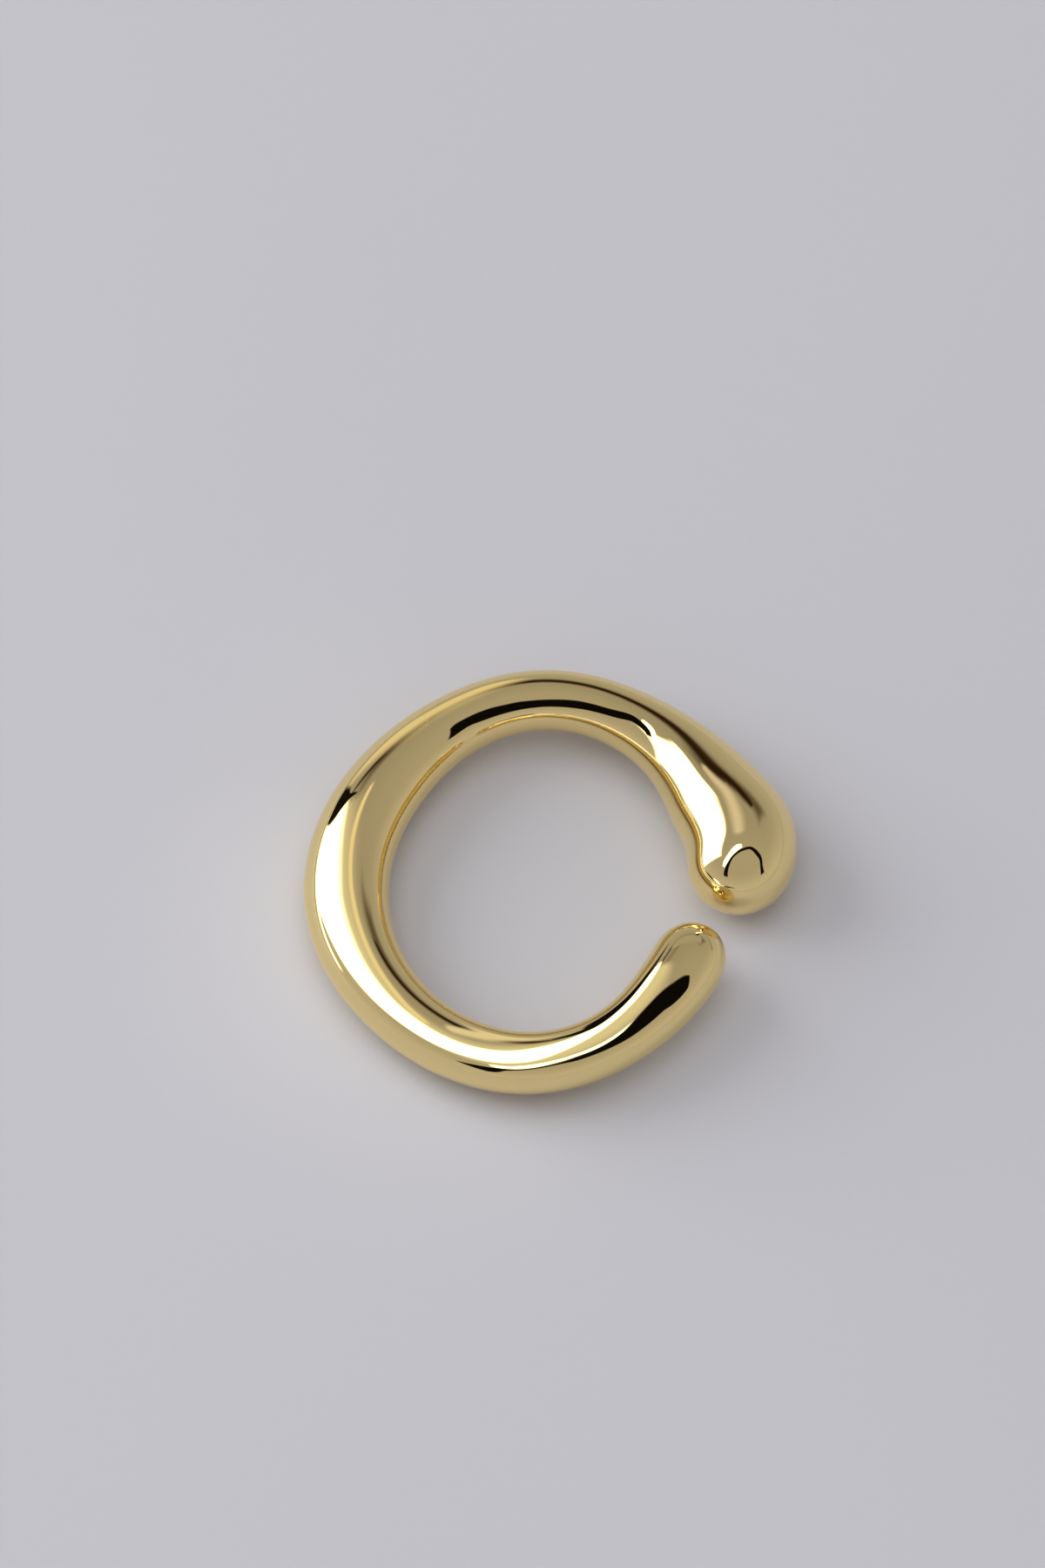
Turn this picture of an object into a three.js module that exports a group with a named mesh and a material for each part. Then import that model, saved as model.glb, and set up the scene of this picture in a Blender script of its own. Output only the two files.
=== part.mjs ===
// Ear cuff: one piece of cast, polished metal, bent into an open ring with a molten outline.
//
// Millimetres, +Z up. The cuff lies on its side on the plane z = 0, with the origin under the
// middle of its outline and its mouth towards +X. Turns are in degrees from +X, anticlockwise
// as seen from above. The metal runs from a swollen drop at +X, round the far side, the back and
// the near side, to a slimmer tip that curls in just short of the drop.

import * as THREE from "three";

// The ring
const RING_DIAMETER = 12.4; // across the ring, through the middle of the metal
const MOUTH_GAP = 0.95; // along the ring, from the drop's end to the tip's end
const MOUTH_TURN = -17.3; // where the middle of the mouth lies

// The metal of each stretch: its width across the ring, and its height from underside to top
const DROP_WIDTH = 3.55;
const DROP_HEIGHT = 3.3;
const BAND_WIDTH = 1.95;
const BAND_HEIGHT = 1.95;
const BACK_WIDTH = 2.7;
const BACK_HEIGHT = 2.3;
const TIP_WIDTH = 2.35;
const TIP_HEIGHT = 2.15;

// The drop, which is thickest, props its side of the ring up by half of what it stands above
// the back. The ring's plane leans by that much, and is highest at this turn.
const LEAN = Math.asin((DROP_HEIGHT - BACK_HEIGHT) / 2 / RING_DIAMETER);
const LEAN_TURN = THREE.MathUtils.degToRad(20);

// How far along the metal each end takes to round off
const DROP_ROUNDING = 2.1;
const TIP_ROUNDING = 1.7;

// How finely the surface is cut
const SIDES = 32;
const BODY_STATIONS = 88;
const END_STATIONS = 10;
const ARC_DIVISIONS = 2000;

const ENDING_POWER = 3; // an end's curve leaves the body without a seam

const SECTIONS = {
  drop: { width: DROP_WIDTH, height: DROP_HEIGHT },
  band: { width: BAND_WIDTH, height: BAND_HEIGHT },
  back: { width: BACK_WIDTH, height: BACK_HEIGHT },
  tip: { width: TIP_WIDTH, height: TIP_HEIGHT },
};

// Shaping rows, from the drop's end to the tip's end. The metal eases past them, as a wax does.
// way: share of the way round. out: distance from the ring's middle, as a share of its radius.
// like: the stretch whose width and height the row takes shares of.
const ROWS = [
  { way: 0.0, out: 0.94, like: "drop", width: 0.84, height: 0.88 },
  { way: 0.037, out: 0.985, like: "drop", width: 0.95, height: 0.97 },
  { way: 0.074, out: 1.01, like: "drop", width: 1.0, height: 1.0 },
  { way: 0.11, out: 0.95, like: "drop", width: 0.9, height: 0.92 },
  { way: 0.156, out: 0.945, like: "band", width: 1.25, height: 1.2 },
  { way: 0.218, out: 0.965, like: "band", width: 0.98, height: 1.0 },
  { way: 0.292, out: 1.01, like: "band", width: 0.95, height: 0.97 },
  { way: 0.365, out: 0.965, like: "band", width: 1.0, height: 1.03 },
  { way: 0.439, out: 0.935, like: "back", width: 0.89, height: 0.96 },
  { way: 0.513, out: 0.965, like: "back", width: 0.99, height: 1.0 },
  { way: 0.586, out: 1.0, like: "back", width: 1.0, height: 1.0 },
  { way: 0.66, out: 1.02, like: "back", width: 0.82, height: 0.9 },
  { way: 0.728, out: 1.06, like: "band", width: 1.04, height: 1.03 },
  { way: 0.796, out: 1.08, like: "band", width: 1.0, height: 1.0 },
  { way: 0.858, out: 1.01, like: "band", width: 0.98, height: 1.0 },
  { way: 0.909, out: 0.925, like: "tip", width: 0.96, height: 0.98 },
  { way: 0.957, out: 0.88, like: "tip", width: 1.02, height: 1.02 },
  { way: 1.0, out: 0.865, like: "tip", width: 0.94, height: 0.98 },
];

const GOLD = new THREE.MeshStandardMaterial({ color: 0xd9b978, roughness: 0.08, metalness: 1 });

// One column of the rows, with a row beyond each end so that the easing reaches the last ones.
function column(read) {
  const values = ROWS.map(read);
  const last = values.length - 1;
  return [2 * values[0] - values[1], ...values, 2 * values[last] - values[last - 1]];
}

const GAP_TURN = THREE.MathUtils.radToDeg(MOUTH_GAP / (RING_DIAMETER / 2));
const FIRST_TURN = MOUTH_TURN + GAP_TURN / 2;
const FULL_TURN = 360 - GAP_TURN;

const COLUMNS = {
  turn: column((row) => THREE.MathUtils.degToRad(FIRST_TURN + row.way * FULL_TURN)),
  reach: column((row) => (row.out * RING_DIAMETER) / 2),
  width: column((row) => row.width * SECTIONS[row.like].width),
  height: column((row) => row.height * SECTIONS[row.like].height),
};

// The value of a column at t, from 0 to 1 over the rows: a uniform cubic B-spline.
function eased(values, t) {
  const spans = values.length - 3;
  const first = Math.min(Math.floor(t * spans), spans - 1);
  const s = t * spans - first;
  const weights = [
    (1 - s) ** 3,
    3 * s ** 3 - 6 * s ** 2 + 4,
    -3 * s ** 3 + 3 * s ** 2 + 3 * s + 1,
    s ** 3,
  ];
  return weights.reduce((sum, weight, i) => sum + (weight * values[first + i]) / 6, 0);
}

// The line through the middle of the metal.
class RingLine extends THREE.Curve {
  constructor() {
    super();
    this.arcLengthDivisions = ARC_DIVISIONS;
  }

  getPoint(t, target = new THREE.Vector3()) {
    const turn = eased(COLUMNS.turn, t);
    const reach = eased(COLUMNS.reach, t);
    return target.set(reach * Math.cos(turn), reach * Math.sin(turn), 0);
  }
}

// Distances along the line at which sections are cut, closer together where the ends round off.
function stations(length) {
  const rounded = (rounding, i) => rounding * (1 - Math.cos((i / END_STATIONS) * (Math.PI / 2)));
  const body = length - DROP_ROUNDING - TIP_ROUNDING;
  const distances = [];
  for (let i = 1; i <= END_STATIONS; i++) distances.push(rounded(DROP_ROUNDING, i));
  for (let i = 1; i < BODY_STATIONS; i++) distances.push(DROP_ROUNDING + (body * i) / BODY_STATIONS);
  for (let i = END_STATIONS; i >= 1; i--) distances.push(length - rounded(TIP_ROUNDING, i));
  return distances;
}

// How much of its full section the metal has, at a distance from an end.
function fullness(distance, rounding) {
  const left = Math.max(1 - distance / rounding, 0);
  return Math.sqrt(1 - left ** ENDING_POWER);
}

// The middle of the metal at a distance along the line, and its two half axes. Each section
// stands on a line from the ring's middle, so that neighbours never cross inside a bend.
function sectionAt(line, distance, length) {
  const share = distance / length;
  const t = line.getUtoTmapping(share);
  const size = fullness(distance, DROP_ROUNDING) * fullness(length - distance, TIP_ROUNDING);
  const middle = line.getPoint(t);
  const across = middle.clone().setLength((size * eased(COLUMNS.width, t)) / 2);
  const up = new THREE.Vector3(0, 0, (size * eased(COLUMNS.height, t)) / 2);
  return { middle, across, up };
}

// One closed surface over the sections, with a point at each end.
function bandGeometry() {
  const line = new RingLine();
  const length = line.getLength();
  const rings = stations(length).map((distance) => sectionAt(line, distance, length));
  const points = [];
  for (const { middle, across, up } of rings) {
    for (let side = 0; side < SIDES; side++) {
      const angle = (side / SIDES) * Math.PI * 2;
      const point = middle.clone();
      point.addScaledVector(across, Math.cos(angle));
      point.addScaledVector(up, Math.sin(angle));
      points.push(point);
    }
  }
  const dropEnd = points.push(sectionAt(line, 0, length).middle) - 1;
  const tipEnd = points.push(sectionAt(line, length, length).middle) - 1;

  const faces = [];
  const lastRing = (rings.length - 1) * SIDES;
  for (let side = 0; side < SIDES; side++) {
    const next = (side + 1) % SIDES;
    faces.push(dropEnd, side, next);
    faces.push(tipEnd, lastRing + next, lastRing + side);
    for (let ring = 0; ring < lastRing; ring += SIDES) {
      const [a, b] = [ring + side, ring + next];
      const [c, d] = [a + SIDES, b + SIDES];
      faces.push(a, c, b, b, c, d);
    }
  }
  const geometry = new THREE.BufferGeometry().setFromPoints(points);
  geometry.setIndex(faces);
  geometry.computeVertexNormals();
  return geometry;
}

// The band, leaned, and set down with the middle of its outline over the origin.
function cuffBand() {
  const band = new THREE.Mesh(bandGeometry(), GOLD);
  band.name = "cuff_band";
  band.rotateOnAxis(new THREE.Vector3(Math.sin(LEAN_TURN), -Math.cos(LEAN_TURN), 0), LEAN);
  const box = new THREE.Box3().setFromObject(band, true);
  const middle = box.getCenter(new THREE.Vector3());
  band.position.set(-middle.x, -middle.y, -box.min.z);
  return band;
}

const earCuff = new THREE.Group();
earCuff.add(cuffBand());

export default earCuff;
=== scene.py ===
"""Ear cuff, lying on its side: one piece of cast brass under a thin gold plate, polished to a mirror.

Metres, +Z up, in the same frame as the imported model. The cuff's mouth is towards +X, and the
camera looks from the -Y side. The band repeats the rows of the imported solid, cut finer.
"""

import math

import bpy
from bpy.props import FloatProperty, FloatVectorProperty, PointerProperty
from mathutils import Matrix, Vector


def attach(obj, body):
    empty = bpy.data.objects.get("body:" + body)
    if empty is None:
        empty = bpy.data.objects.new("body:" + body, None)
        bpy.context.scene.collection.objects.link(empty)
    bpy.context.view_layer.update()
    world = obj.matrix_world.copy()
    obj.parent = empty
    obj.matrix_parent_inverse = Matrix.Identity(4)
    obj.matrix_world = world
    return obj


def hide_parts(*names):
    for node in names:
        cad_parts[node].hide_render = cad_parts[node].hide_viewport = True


bl_info = {
    "name": "Ear Cuff",
    "version": (1, 0, 0),
    "blender": (4, 5, 0),
    "location": "3D View > Sidebar > Ear Cuff",
    "description": "Builds a polished ear cuff and the studio that it lies in",
    "category": "Add Mesh",
}

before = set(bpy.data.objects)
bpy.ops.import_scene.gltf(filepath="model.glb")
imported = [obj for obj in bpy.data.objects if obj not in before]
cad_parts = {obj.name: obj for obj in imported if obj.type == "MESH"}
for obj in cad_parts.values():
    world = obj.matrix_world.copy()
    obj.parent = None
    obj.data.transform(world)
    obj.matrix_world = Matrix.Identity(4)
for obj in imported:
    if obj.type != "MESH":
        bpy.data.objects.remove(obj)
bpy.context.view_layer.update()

MM = 0.001


def linear(hex_colour):
    """An sRGB hex value, such as "#d9b978", as a linear colour."""
    channels = [int(hex_colour[i:i + 2], 16) / 255 for i in (1, 3, 5)]
    return tuple(c / 12.92 if c <= 0.04045 else ((c + 0.055) / 1.055) ** 2.4 for c in channels)


# Sizes and colours


class CuffSizes(bpy.types.PropertyGroup):
    """The sizes of the band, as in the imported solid."""

    ring_diameter: FloatProperty(
        name="Ring diameter",
        description="Across the ring, through the middle of the metal",
        default=12.4 * MM,
        unit="LENGTH",
    )
    mouth_gap: FloatProperty(
        name="Mouth gap",
        description="Along the ring, from the drop's end to the tip's end",
        default=0.95 * MM,
        unit="LENGTH",
    )
    mouth_turn: FloatProperty(
        name="Mouth turn",
        description="Where the middle of the mouth lies, from +X",
        default=math.radians(-17.3),
        unit="ROTATION",
    )
    drop_width: FloatProperty(
        name="Drop width",
        description="The swollen end's width across the ring",
        default=3.55 * MM,
        unit="LENGTH",
    )
    drop_height: FloatProperty(
        name="Drop height",
        description="The swollen end's height",
        default=3.3 * MM,
        unit="LENGTH",
    )
    band_width: FloatProperty(
        name="Band width",
        description="The slim stretches' width across the ring",
        default=1.95 * MM,
        unit="LENGTH",
    )
    band_height: FloatProperty(
        name="Band height",
        description="The slim stretches' height",
        default=1.95 * MM,
        unit="LENGTH",
    )
    back_width: FloatProperty(
        name="Back width",
        description="The back's width across the ring",
        default=2.7 * MM,
        unit="LENGTH",
    )
    back_height: FloatProperty(
        name="Back height",
        description="The back's height",
        default=2.3 * MM,
        unit="LENGTH",
    )
    tip_width: FloatProperty(
        name="Tip width",
        description="The slim end's width across the ring",
        default=2.35 * MM,
        unit="LENGTH",
    )
    tip_height: FloatProperty(
        name="Tip height",
        description="The slim end's height",
        default=2.15 * MM,
        unit="LENGTH",
    )


class CuffFinish(bpy.types.PropertyGroup):
    """The plate's colour and how well it is polished."""

    gold: FloatVectorProperty(
        name="Gold",
        description="What the plate reflects, seen straight on",
        subtype="COLOR",
        size=3,
        min=0,
        max=1,
        default=linear("#f7df9e"),
    )
    polish: FloatProperty(
        name="Polish",
        description="Roughness of the polished plate, from 0 for a perfect mirror",
        subtype="FACTOR",
        min=0,
        max=1,
        default=0.05,
    )


class CuffStudio(bpy.types.PropertyGroup):
    """The table, the lights and the camera."""

    table: FloatVectorProperty(
        name="Table",
        description="The table's colour",
        subtype="COLOR",
        size=3,
        min=0,
        max=1,
        default=linear("#d3d3d9"),
    )
    room: FloatVectorProperty(
        name="Room",
        description="The colour of the room's walls, as the metal reflects them",
        subtype="COLOR",
        size=3,
        min=0,
        max=1,
        default=linear("#aeacae"),
    )
    camera_height: FloatProperty(
        name="Camera height",
        description="The angle at which the camera looks down on the cuff",
        default=math.radians(60.5),
        unit="ROTATION",
    )


# Materials

# Patterns, in crests per metre: ripples that the buff rounds off, its hairlines, patches of haze
# from handling, and the unevenness of sprayed paint.
RIPPLES = 300.0
HAIRLINES = 16000.0
HAZE_PATCHES = 500.0
PAINT_CLOUDS = 12.0

RIPPLE_DEPTH = 0.05 * MM
HAIRLINE_DEPTH = 0.005 * MM

# The polish varies between these shares of its roughness.
POLISH_BEST = 0.7
POLISH_WORST = 1.6

PAINT_ROUGHNESS = 0.75
PAINT_DARKEST = 0.96


def node(tree, kind, settings=None, **links):
    """Adds a node, sets its properties and sockets, and links what is given by socket name."""
    made = tree.nodes.new(kind)
    for key, value in (settings or {}).items():
        if isinstance(key, str) and hasattr(made, key):
            setattr(made, key, value)
        else:
            made.inputs[key].default_value = value
    for key, source in links.items():
        name = key.replace("_", " ")
        socket = made.inputs[name] if name in made.inputs else made.inputs[int(key[1:])]
        tree.links.new(source, socket)
    return made


def fresh_material(name):
    """An empty node material and its tree."""
    material = bpy.data.materials.new(name)
    material.use_nodes = True
    material.node_tree.nodes.clear()
    return material, material.node_tree


def gold_plated_brass(finish):
    """Cast brass, tumbled and buffed to a mirror, then plated with a few microns of pale gold.

    The eye sees sharp but slightly wavy reflections, tinted by the gold, with a faint haze
    where the buff has left hairlines.
    """
    material, tree = fresh_material("Gold_Plated_Cast_Brass_Polished")
    place = node(tree, "ShaderNodeTexCoord").outputs["Object"]

    # Buffing rounds the wax's ripples off to a faint waviness, 3 to 4 mm from crest to crest.
    waves = node(tree, "ShaderNodeTexNoise", {"Scale": RIPPLES, "Detail": 1.0}, Vector=place)
    # Hairlines of the last buff are a few microns wide. They are drawn 60 microns wide to show.
    hairs = node(tree, "ShaderNodeTexNoise", {"Scale": HAIRLINES, "Detail": 2.0}, Vector=place)
    bump_waves = node(
        tree,
        "ShaderNodeBump",
        {"Strength": 0.05, "Distance": RIPPLE_DEPTH},
        Height=waves.outputs["Fac"],
    )
    bump_hairs = node(
        tree,
        "ShaderNodeBump",
        {"Strength": 0.01, "Distance": HAIRLINE_DEPTH},
        Height=hairs.outputs["Fac"],
        Normal=bump_waves.outputs["Normal"],
    )
    # Haze from handling comes in patches about 2 mm across.
    haze = node(tree, "ShaderNodeTexNoise", {"Scale": HAZE_PATCHES, "Detail": 3.0}, Vector=place)
    roughness = node(
        tree,
        "ShaderNodeMapRange",
        {
            "From Min": 0.35,
            "From Max": 0.75,
            "To Min": finish.polish * POLISH_BEST,
            "To Max": finish.polish * POLISH_WORST,
        },
        Value=haze.outputs["Fac"],
    )
    surface = node(
        tree,
        "ShaderNodeBsdfPrincipled",
        {"Base Color": (*finish.gold, 1), "Metallic": 1.0},
        Roughness=roughness.outputs["Result"],
        Normal=bump_hairs.outputs["Normal"],
    )
    node(tree, "ShaderNodeOutputMaterial", Surface=surface.outputs["BSDF"])
    return material


def painted_table(studio):
    """A table top sprayed with matt paint: pale, with a faint unevenness and no gloss to speak of."""
    material, tree = fresh_material("Matt_Painted_Table")
    place = node(tree, "ShaderNodeTexCoord").outputs["Object"]
    cloud = node(tree, "ShaderNodeTexNoise", {"Scale": PAINT_CLOUDS, "Detail": 4.0}, Vector=place)
    shade = node(
        tree,
        "ShaderNodeMapRange",
        {"From Min": 0.3, "From Max": 0.7, "To Min": PAINT_DARKEST, "To Max": 1.0},
        Value=cloud.outputs["Fac"],
    )
    colour = node(
        tree,
        "ShaderNodeVectorMath",
        {"operation": "SCALE", 0: tuple(studio.table)},
        Scale=shade.outputs["Result"],
    )
    surface = node(
        tree,
        "ShaderNodeBsdfPrincipled",
        {"Roughness": PAINT_ROUGHNESS},
        Base_Color=colour.outputs["Vector"],
    )
    node(tree, "ShaderNodeOutputMaterial", Surface=surface.outputs["BSDF"])
    return material


def glowing(name, shade, strength):
    """A lit scrim or a dark card. It fades out where the mesh's cover value falls to nothing."""
    material, tree = fresh_material(name)
    cover = node(tree, "ShaderNodeAttribute", {"attribute_name": "cover"})
    soft = node(
        tree, "ShaderNodeMapRange", {"interpolation_type": "SMOOTHSTEP"}, Value=cover.outputs["Fac"]
    )
    clear = node(tree, "ShaderNodeBsdfTransparent")
    glow = node(tree, "ShaderNodeEmission", {"Color": (*linear(shade), 1), "Strength": strength})
    mixed = node(
        tree,
        "ShaderNodeMixShader",
        _0=soft.outputs["Result"],
        _1=clear.outputs["BSDF"],
        _2=glow.outputs["Emission"],
    )
    node(tree, "ShaderNodeOutputMaterial", Surface=mixed.outputs["Shader"])
    return material


# The band

# Shaping rows, from the drop's end to the tip's end: share of the way round, distance from the
# ring's middle as a share of its radius, the stretch, and shares of that stretch's width and height.
ROWS = [
    (0.0, 0.94, "drop", 0.84, 0.88),
    (0.037, 0.985, "drop", 0.95, 0.97),
    (0.074, 1.01, "drop", 1.0, 1.0),
    (0.11, 0.95, "drop", 0.9, 0.92),
    (0.156, 0.945, "band", 1.25, 1.2),
    (0.218, 0.965, "band", 0.98, 1.0),
    (0.292, 1.01, "band", 0.95, 0.97),
    (0.365, 0.965, "band", 1.0, 1.03),
    (0.439, 0.935, "back", 0.89, 0.96),
    (0.513, 0.965, "back", 0.99, 1.0),
    (0.586, 1.0, "back", 1.0, 1.0),
    (0.66, 1.02, "back", 0.82, 0.9),
    (0.728, 1.06, "band", 1.04, 1.03),
    (0.796, 1.08, "band", 1.0, 1.0),
    (0.858, 1.01, "band", 0.98, 1.0),
    (0.909, 0.925, "tip", 0.96, 0.98),
    (0.957, 0.88, "tip", 1.02, 1.02),
    (1.0, 0.865, "tip", 0.94, 0.98),
]

DROP_ROUNDING = 2.1 * MM
TIP_ROUNDING = 1.7 * MM
LEAN_TURN = math.radians(20)
ENDING_POWER = 3

SIDES = 96
STATIONS = 420
END_STATIONS = 40
LINE_STEPS = 4000


def column(values):
    """A column of the rows, with a row beyond each end so that the easing reaches the last ones."""
    return [2 * values[0] - values[1], *values, 2 * values[-1] - values[-2]]


def eased(values, t):
    """The value of a column at t, from 0 to 1 over the rows: a uniform cubic B-spline."""
    spans = len(values) - 3
    first = min(int(t * spans), spans - 1)
    s = t * spans - first
    weights = ((1 - s) ** 3, 3 * s ** 3 - 6 * s ** 2 + 4, -3 * s ** 3 + 3 * s ** 2 + 3 * s + 1, s ** 3)
    return sum(weight * values[first + i] for i, weight in enumerate(weights)) / 6


def fullness(distance, rounding):
    """How much of its full section the metal has, at a distance from an end."""
    left = max(1 - distance / rounding, 0)
    return math.sqrt(1 - left ** ENDING_POWER)


def band_columns(sizes):
    """The rows as turns, reaches, widths and heights, in radians and metres."""
    gap_turn = sizes.mouth_gap / (sizes.ring_diameter / 2)
    first_turn = sizes.mouth_turn + gap_turn / 2
    widths = {k: getattr(sizes, k + "_width") for k in ("drop", "band", "back", "tip")}
    heights = {k: getattr(sizes, k + "_height") for k in ("drop", "band", "back", "tip")}
    return (
        column([first_turn + way * (2 * math.pi - gap_turn) for way, *_ in ROWS]),
        column([out * sizes.ring_diameter / 2 for _, out, *_ in ROWS]),
        column([width * widths[like] for _, _, like, width, _ in ROWS]),
        column([height * heights[like] for _, _, like, _, height in ROWS]),
    )


def stations(length):
    """Distances along the line at which sections are cut, closer together at the rounded ends."""
    eases = [1 - math.cos(i / END_STATIONS * math.pi / 2) for i in range(1, END_STATIONS + 1)]
    body = length - DROP_ROUNDING - TIP_ROUNDING
    yield from (DROP_ROUNDING * ease for ease in eases)
    yield from (DROP_ROUNDING + body * i / STATIONS for i in range(1, STATIONS))
    yield from (length - TIP_ROUNDING * ease for ease in reversed(eases))


def band_mesh(sizes):
    """The band as one closed surface over its sections, leaned and set down on the table."""
    turns, reaches, widths, heights = band_columns(sizes)

    def line_point(t):
        turn, reach = eased(turns, t), eased(reaches, t)
        return Vector((reach * math.cos(turn), reach * math.sin(turn), 0))

    line = [line_point(i / LINE_STEPS) for i in range(LINE_STEPS + 1)]
    travelled = [0.0]
    for a, b in zip(line, line[1:]):
        travelled.append(travelled[-1] + (b - a).length)
    length = travelled[-1]

    points, faces, step = [], [], 0
    for distance in stations(length):
        while travelled[step + 1] < distance:
            step += 1
        part = (distance - travelled[step]) / (travelled[step + 1] - travelled[step])
        t = (step + part) / LINE_STEPS
        size = fullness(distance, DROP_ROUNDING) * fullness(length - distance, TIP_ROUNDING)
        middle = line_point(t)
        across = middle.normalized() * size * eased(widths, t) / 2
        up = Vector((0, 0, size * eased(heights, t) / 2))
        for side in range(SIDES):
            angle = side / SIDES * 2 * math.pi
            points.append(middle + across * math.cos(angle) + up * math.sin(angle))
    last_ring = len(points) - SIDES
    points += [line_point(0), line_point(1)]
    drop_end, tip_end = len(points) - 2, len(points) - 1
    for side in range(SIDES):
        beyond = (side + 1) % SIDES
        faces.append((drop_end, side, beyond))
        faces.append((tip_end, last_ring + beyond, last_ring + side))
        for ring in range(0, last_ring, SIDES):
            faces.append((ring + side, ring + SIDES + side, ring + SIDES + beyond, ring + beyond))

    # The drop is the thickest, so it props its side of the ring up, and the whole ring leans.
    lean = math.asin((sizes.drop_height - sizes.back_height) / 2 / sizes.ring_diameter)
    axis = Vector((math.sin(LEAN_TURN), -math.cos(LEAN_TURN), 0))
    leaned = [Matrix.Rotation(lean, 3, axis) @ point for point in points]
    low = Vector(min(p[i] for p in leaned) for i in range(3))
    high = Vector(max(p[i] for p in leaned) for i in range(3))
    foot = Vector(((low.x + high.x) / 2, (low.y + high.y) / 2, low.z))

    mesh = bpy.data.meshes.new("cuff_band_polished")
    mesh.from_pydata([point - foot for point in leaned], [], faces)
    mesh.shade_smooth()
    return mesh


class EARCUFF_OT_cuff_band(bpy.types.Operator):
    """Add the polished gold band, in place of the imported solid"""

    bl_idname = "ear_cuff.cuff_band"
    bl_label = "Cuff band"

    def execute(self, context):
        scene = context.scene
        band = bpy.data.objects.new("cuff_band_polished", band_mesh(scene.cuff_sizes))
        scene.collection.objects.link(band)
        band.data.materials.append(gold_plated_brass(scene.cuff_finish))
        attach(band, "root")
        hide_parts("cuff_band")
        return {"FINISHED"}


# The stage

TABLE_SIZE = 4.0

# The photograph's framing: the point under the middle of the picture, and how far the lens stands
# off. A very long lens, far off, keeps the perspective as flat as the photograph's.
AIM = Vector((-0.863, 3.214, 1.818)) * MM
LENS_DISTANCE = 1078.4 * MM
LENS_LENGTH = 800  # mm
LENS_NEAREST = 10 * MM

# A softbox straight above lights the table. The metal mirrors the panels below and not the box,
# and the camera sees neither.
SOFTBOX_SIZE = 0.5
SOFTBOX_ABOVE = 0.6
SOFTBOX_POWER = 0.9  # W

WHITE = "#ffffff"
BLACK = "#0c0b0a"

# A lit scrim glows far past white, so that the metal mirrors it as plain white.
LIT = 3.0

# What stands around the table, as the metal mirrors it. Each is a patch of a sphere round the
# cuff. bearing: degrees clockwise from the far side, +Y. tilt: degrees down from straight up.
SURROUNDINGS = [
    {
        "name": "scrim_left",
        "bearing": (-97, -41),
        "tilt": (36, 86),
        "soft": 5,
        "away": 400,
        "shade": WHITE,
        "strength": LIT,
    },
    {
        "name": "card_far",
        "bearing": (-34, 52),
        "tilt": (38, 64),
        "soft": 12,
        "away": 390,
        "shade": "#5f564e",
    },
]

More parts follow.
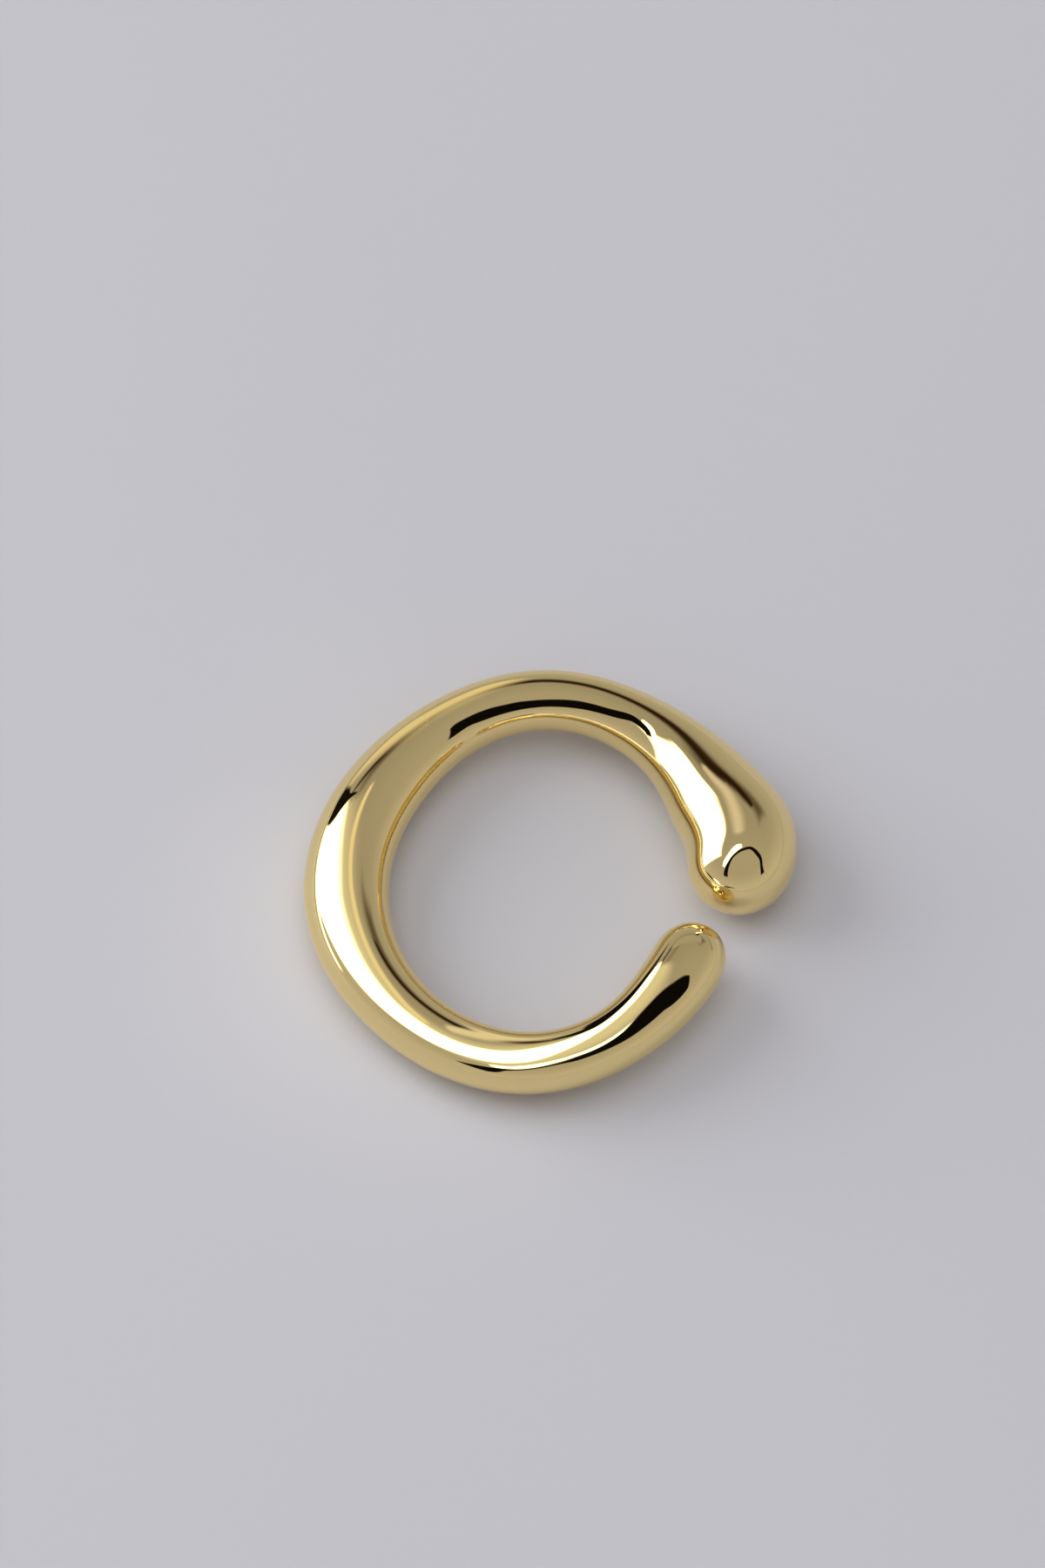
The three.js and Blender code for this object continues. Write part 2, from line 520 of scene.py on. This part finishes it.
# What hangs over the table, in millimetres. Each is a strip that runs along points, x, y and half
# its width. The low ones hang close over the metal, so that each arm of the ring mirrors its own,
# and a lower one covers what is above it. card_rim and card_tip are as pale as the room: they keep
# the left scrim off the outer side of the back, and the far arch off the tip.
HANGINGS = [
    {
        "name": "arch_far",
        "above": 100,
        "soft": 0.8,
        "points": [(-104, 140, 6), (-70, 130, 10), (-35, 122, 15), (-10, 116, 20), (7, 122, 22),
                   (17, 122, 20), (33, 105, 18), (45, 95, 15), (56, 85, 8)],
        "shade": "#2a1c0c",
    },
    {
        "name": "scrim_rim",
        "above": 3.12,
        "soft": 0.6,
        "points": [(-9.5, 9.4, 3), (-7, 8, 2.2), (-5.4, 7.3, 1.7), (-4.4, 7.5, 1.5),
                   (-3.6, 7.7, 1.4), (-2.9, 8, 1.3), (-2.3, 8.4, 1.2), (-1.8, 9.2, 1.1)],
        "shade": "#e8e0cc",
    },
    {
        "name": "scrim_line",
        "above": 3.0,
        "soft": 0.7,
        "points": [(-5.5, 3.5, 0.07), (-5.86, 2.55, 0.1), (-6.07, 1.4, 0.11), (-6.08, 0.1, 0.11),
                   (-5.95, -0.9, 0.13), (-5.7, -2, 0.14), (-5.35, -3.1, 0.15),
                   (-4.9, -4.05, 0.15), (-4.5, -4.75, 0.14), (-3.9, -5.4, 0.12)],
        "shade": "#f4ecd4",
    },
    {
        "name": "scrim_back",
        "above": 3.05,
        "soft": 0.18,
        "points": [(-8.7, 3.8, 1.5), (-8.5, 2.6, 1.6), (-8.4, 1.4, 1.6), (-8.35, 0.2, 1.6),
                   (-8.2, -0.9, 1.5), (-7.9, -1.9, 1.4), (-7.5, -2.9, 1.3), (-7, -3.75, 1.15),
                   (-6.4, -4.5, 0.98), (-5.7, -5.2, 0.83), (-4.95, -5.8, 0.75),
                   (-4.2, -6.3, 0.68), (-3.4, -6.65, 0.62), (-2.6, -6.85, 0.58),
                   (-1.8, -6.9, 0.55), (-1, -6.75, 0.52), (-0.35, -6.45, 0.48), (0.2, -6.1, 0.43),
                   (0.7, -5.73, 0.39), (1.15, -5.3, 0.38), (1.55, -4.75, 0.42), (1.9, -4.1, 0.5),
                   (2.2, -3.4, 0.56), (2.5, -2.9, 0.45), (2.8, -2.5, 0.2)],
        "shade": WHITE,
        "strength": LIT,
    },
    {
        "name": "scrim_glow",
        "above": 3.08,
        "soft": 0.5,
        "points": [(-7.9, 3.4, 1.4), (-7.7, 1.4, 1.5), (-7.5, -0.9, 1.5), (-6.9, -2.7, 1.35),
                   (-6, -4.3, 1.1), (-5, -5.5, 0.95), (-3.8, -6.4, 0.9), (-2.4, -6.9, 0.95),
                   (-1, -6.8, 1), (0.1, -6.3, 0.95), (0.9, -5.8, 0.95), (1.6, -5.2, 0.95),
                   (2.2, -4.5, 0.95), (2.7, -3.6, 0.9), (3.1, -2.8, 0.6)],
        "shade": "#e2e2dc",
    },
    {
        "name": "card_rim",
        "above": 3.12,
        "soft": 0.2,
        "points": [(-12.6, 0.6, 0.2), (-12.5, -0.4, 0.7), (-12.1, -1.4, 1.3), (-11.6, -2.6, 1.8),
                   (-11, -3.8, 2.1), (-10.2, -5.2, 2.2), (-9.2, -6.6, 2)],
        "shade": "#bcbabc",
    },
    {
        "name": "scrim_front",
        "above": 3.0,
        "soft": 0.3,
        "points": [(-2.5, -8.05, 0.22), (-1.7, -8.1, 0.24), (-0.95, -7.9, 0.22),
                   (0.35, -7.3, 0.13), (0.95, -7, 0.11), (1.55, -6.7, 0.12), (2.1, -6.3, 0.1),
                   (2.6, -5.75, 0.07), (3, -5.2, 0.04)],
        "shade": WHITE,
        "strength": LIT,
    },
    {
        "name": "card_left",
        "above": 3.0,
        "soft": 0.15,
        "points": [(-6.3, 3.3, 0.04), (-6.8, 3.5, 0.15), (-7.3, 3.65, 0.4), (-7.9, 4, 0.75),
                   (-8.9, 4.9, 1), (-10.5, 6.6, 1.2), (-13, 9.5, 1.6)],
        "shade": BLACK,
    },
    {
        "name": "card_front",
        "above": 2.95,
        "soft": 0.1,
        "points": [(-4.4, -10.2, 1.2), (-3.6, -9.7, 1.1), (-2.9, -9.2, 0.8), (-2.05, -8.65, 0.32),
                   (-1, -8.3, 0.12), (0.4, -7.65, 0.12), (1.05, -7.4, 0.24), (1.7, -7.1, 0.29),
                   (2.3, -6.75, 0.37), (2.85, -6.3, 0.5), (3.3, -5.65, 0.6), (3.85, -4.95, 0.62),
                   (4.4, -4.65, 0.68), (4.75, -4.4, 0.6), (5, -4.2, 0.35)],
        "shade": BLACK,
    },
    {
        "name": "card_inner",
        "above": 2.9,
        "soft": 0.15,
        "points": [(-0.1, -5.15, 0.08), (0.2, -5.02, 0.22), (0.56, -4.95, 0.31),
                   (1.04, -4.7, 0.42), (1.25, -3.8, 0.75), (1.35, -2.6, 1.1), (1.4, -1, 1.4)],
        "shade": BLACK,
    },
    {
        "name": "scrim_inner",
        "above": 2.88,
        "soft": 0.6,
        "points": [(-3.4, -5.3, 0.15), (-2.5, -5.2, 0.38), (-1.9, -5, 0.55), (-1.3, -4.2, 0.95),
                   (-0.9, -3.2, 1.3)],
        "shade": "#e6e4de",
    },
    {
        "name": "card_tip",
        "above": 2.8,
        "soft": 0.5,
        "points": [(3.6, -2.75, 0.14), (3.75, -2.5, 0.24), (4.1, -2.4, 0.28), (4.5, -2.35, 0.28),
                   (5, -2.4, 0.22)],
        "shade": "#aba9ab",
    },
    {
        "name": "scrim_drop",
        "above": 3.42,
        "soft": 0.2,
        "points": [(4.9, -0.7, 0.07), (5.1, -0.4, 0.1), (5.4, -0.1, 0.12), (5.7, 0.2, 0.11),
                   (5.95, 0.3, 0.06)],
        "shade": WHITE,
        "strength": LIT,
    },
    {
        "name": "card_drop",
        "above": 3.4,
        "soft": 0.15,
        "points": [(4.7, -1.75, 0.2), (5, -1, 0.13), (5.4, -0.3, 0.06), (5.7, 0, 0.05),
                   (6, 0.15, 0.05), (6.3, 0.2, 0.06), (6.65, 0, 0.09), (6.95, -0.25, 0.09),
                   (7.4, -0.85, 0.12), (8.4, -1.9, 0.25)],
        "shade": BLACK,
    },
    {
        "name": "scrim_fringe",
        "above": 3.45,
        "soft": 0.9,
        "points": [(4.4, 3.8, 0.08), (4.95, 2.95, 0.13), (5.33, 2.45, 0.16), (5.57, 1.9, 0.18),
                   (5.74, 1.25, 0.2), (5.8, 0.65, 0.16)],
        "shade": "#dcd8dc",
    },
    {
        "name": "scrim_top",
        "above": 2.95,
        "soft": 0.2,
        "points": [(2.65, 5.2, 0.05), (2.85, 4.85, 0.13), (2.9, 4.6, 0.12), (2.8, 4.4, 0.06)],
        "shade": WHITE,
        "strength": LIT,
    },
    {
        "name": "card_top",
        "above": 2.9,
        "soft": 0.1,
        "points": [(-2.55, 4.45, 0.4), (-2.35, 4.6, 0.52), (-2, 4.85, 0.46), (-1.6, 4.95, 0.5),
                   (-1.1, 4.93, 0.58), (-0.7, 5, 0.58), (-0.3, 5.12, 0.48), (0.5, 5.3, 0.38),
                   (1, 5.3, 0.32), (1.5, 5.25, 0.25), (2.2, 5.2, 0.18), (2.5, 5, 0.16),
                   (2.7, 4.7, 0.15), (2.65, 4.45, 0.1)],
        "shade": BLACK,
    },
]

# Steps across a patch, from one of a strip's points to the next, and over which its ends fade.
PATCH_STEPS = 24
STRIP_STEPS = 12
FADE_STEPS = 4

# The walls are ROOM_LOW times as bright at the table's height as overhead, which fades out where
# the sine of the height is ROOM_LOW_UP_TO. The far side is ROOM_FAR times as bright as the near.
ROOM_LOW = 1.3
ROOM_LOW_UP_TO = 0.7
ROOM_FAR = 0.82


def mirrored(name, points, covers, rows, shade, strength):
    """A sheet over rows of points that the metal mirrors and the camera doesn't see."""
    across = len(points) // rows
    faces = [
        (i * across + j, i * across + j + 1, (i + 1) * across + j + 1, (i + 1) * across + j)
        for i in range(rows - 1)
        for j in range(across - 1)
    ]
    mesh = bpy.data.meshes.new(name)
    mesh.from_pydata([Vector(point) * MM for point in points], [], faces)
    mesh.attributes.new("cover", "FLOAT", "POINT").data.foreach_set("value", covers)
    mesh.materials.append(glowing(name + "_surface", shade, strength))
    made = bpy.data.objects.new(name, mesh)
    made.visible_camera = False
    made.visible_shadow = False
    return made


def patch(name, bearing, tilt, soft, away, shade, strength=1.0):
    """A patch of a sphere round the cuff, whose edges fade over soft degrees."""
    points, covers = [], []
    for i in range(PATCH_STEPS + 1):
        t = tilt[0] + (tilt[1] - tilt[0]) * i / PATCH_STEPS
        for j in range(PATCH_STEPS + 1):
            b = bearing[0] + (bearing[1] - bearing[0]) * j / PATCH_STEPS
            tr, br = math.radians(t), math.radians(b)
            out = away * math.sin(tr)
            points.append((out * math.sin(br), out * math.cos(br), away * math.cos(tr)))
            edge = min(t - tilt[0], tilt[1] - t, b - bearing[0], bearing[1] - b)
            covers.append(min(edge / soft, 1))
    return mirrored(name, points, covers, PATCH_STEPS + 1, shade, strength)


def strip(name, above, soft, points, shade, strength=1.0):
    """A level strip that runs through the points, whose sides fade over soft of its half width."""
    xs, ys, halves = (column(list(values)) for values in zip(*points))

    def through(values, i, t):
        """A Catmull-Rom curve between the values i and i + 1 of a column."""
        a, b, c, d = values[i:i + 4]
        return b + t / 2 * (c - a + t * (2 * a - 5 * b + 4 * c - d + t * (3 * (b - c) + d - a)))

    line = [
        tuple(through(values, i, step / STRIP_STEPS) for values in (xs, ys, halves))
        for i in range(len(points) - 1)
        for step in range(STRIP_STEPS)
    ] + [points[-1]]
    made, covers = [], []
    for i, (x, y, half) in enumerate(line):
        x0, y0, _ = line[max(i - 1, 0)]
        x1, y1, _ = line[min(i + 1, len(line) - 1)]
        run = math.hypot(x1 - x0, y1 - y0)
        nx, ny = (y1 - y0) / run, (x0 - x1) / run
        ends = min(i, len(line) - 1 - i, FADE_STEPS) / FADE_STEPS
        for share, cover in ((-1 - soft, 0), (-1 + soft, 1), (1 - soft, 1), (1 + soft, 0)):
            made.append((x + nx * half * share, y + ny * half * share, above))
            covers.append(min(cover, ends))
    hung = mirrored(name, made, covers, len(line), shade, strength)
    hung.visible_diffuse = False
    return hung


def studio_room(studio):
    """The room around: plain walls, darker overhead and towards the far side."""
    world = bpy.data.worlds.new("Studio_Room")
    world.use_nodes = True
    tree = world.node_tree
    tree.nodes.clear()
    way = node(tree, "ShaderNodeTexCoord").outputs["Generated"]
    parts = node(tree, "ShaderNodeSeparateXYZ", Vector=way)
    low = node(
        tree,
        "ShaderNodeMapRange",
        {
            "interpolation_type": "SMOOTHSTEP",
            "From Min": 0.0,
            "From Max": ROOM_LOW_UP_TO,
            "To Min": ROOM_LOW,
            "To Max": 1.0,
        },
        Value=parts.outputs["Z"],
    )
    far = node(
        tree,
        "ShaderNodeMapRange",
        {
            "interpolation_type": "SMOOTHSTEP",
            "From Min": -0.2,
            "From Max": 0.8,
            "To Min": 1.0,
            "To Max": ROOM_FAR,
        },
        Value=parts.outputs["Y"],
    )
    level = node(
        tree,
        "ShaderNodeMath",
        {"operation": "MULTIPLY"},
        _0=low.outputs["Result"],
        _1=far.outputs["Result"],
    )
    back = node(
        tree, "ShaderNodeBackground", {"Color": (*studio.room, 1)}, Strength=level.outputs["Value"]
    )
    node(tree, "ShaderNodeOutputWorld", Surface=back.outputs["Background"])
    return world


class EARCUFF_OT_stage(bpy.types.Operator):
    """Add the table, the studio's panels and room, and the camera"""

    bl_idname = "ear_cuff.stage"
    bl_label = "Stage"

    def execute(self, context):
        scene = context.scene
        studio = scene.cuff_studio

        half = TABLE_SIZE / 2
        top = bpy.data.meshes.new("table_top")
        corners = [(-half, -half, 0), (half, -half, 0), (half, half, 0), (-half, half, 0)]
        top.from_pydata(corners, [], [(0, 1, 2, 3)])
        top.materials.append(painted_table(studio))
        table = bpy.data.objects.new("table_top", top)
        scene.collection.objects.link(table)

        for made in [patch(**facts) for facts in SURROUNDINGS] + [strip(**facts) for facts in HANGINGS]:
            scene.collection.objects.link(made)

        lamp = bpy.data.lights.new("softbox", "AREA")
        lamp.size = SOFTBOX_SIZE
        lamp.energy = SOFTBOX_POWER
        softbox = bpy.data.objects.new("softbox", lamp)
        softbox.location = (0, 0, SOFTBOX_ABOVE)
        softbox.visible_glossy = False
        softbox.visible_camera = False
        scene.collection.objects.link(softbox)

        scene.world = studio_room(studio)
        scene.view_settings.view_transform = "Standard"

        away = Vector((0, -math.cos(studio.camera_height), math.sin(studio.camera_height)))
        lens = bpy.data.cameras.new("camera")
        lens.lens = LENS_LENGTH
        lens.clip_start = LENS_NEAREST
        camera = bpy.data.objects.new("camera", lens)
        turned = away.to_track_quat("Z", "Y").to_matrix().to_4x4()
        camera.matrix_world = Matrix.Translation(AIM + away * LENS_DISTANCE) @ turned
        scene.collection.objects.link(camera)
        scene.camera = camera
        return {"FINISHED"}


# The add-on


class EARCUFF_PT_pieces(bpy.types.Panel):
    """Lists the cuff's pieces, sizes and finishes"""

    bl_label = "Ear Cuff"
    bl_idname = "EARCUFF_PT_pieces"
    bl_space_type = "VIEW_3D"
    bl_region_type = "UI"
    bl_category = "Ear Cuff"

    def draw(self, context):
        scene = context.scene
        for step in STEPS:
            self.layout.operator(step.bl_idname)
        for group in (scene.cuff_sizes, scene.cuff_finish, scene.cuff_studio):
            box = self.layout.box()
            for name in group.__annotations__:
                box.prop(group, name)


GROUPS = {"cuff_sizes": CuffSizes, "cuff_finish": CuffFinish, "cuff_studio": CuffStudio}
STEPS = (EARCUFF_OT_cuff_band, EARCUFF_OT_stage)
CLASSES = (*GROUPS.values(), *STEPS, EARCUFF_PT_pieces)


def register():
    for cls in CLASSES:
        bpy.utils.register_class(cls)
    for name, group in GROUPS.items():
        setattr(bpy.types.Scene, name, PointerProperty(type=group))


def unregister():
    for name in GROUPS:
        delattr(bpy.types.Scene, name)
    for cls in reversed(CLASSES):
        bpy.utils.unregister_class(cls)


def main():
    register()
    bpy.ops.ear_cuff.cuff_band()
    bpy.ops.ear_cuff.stage()


if __name__ == "__main__":
    main()
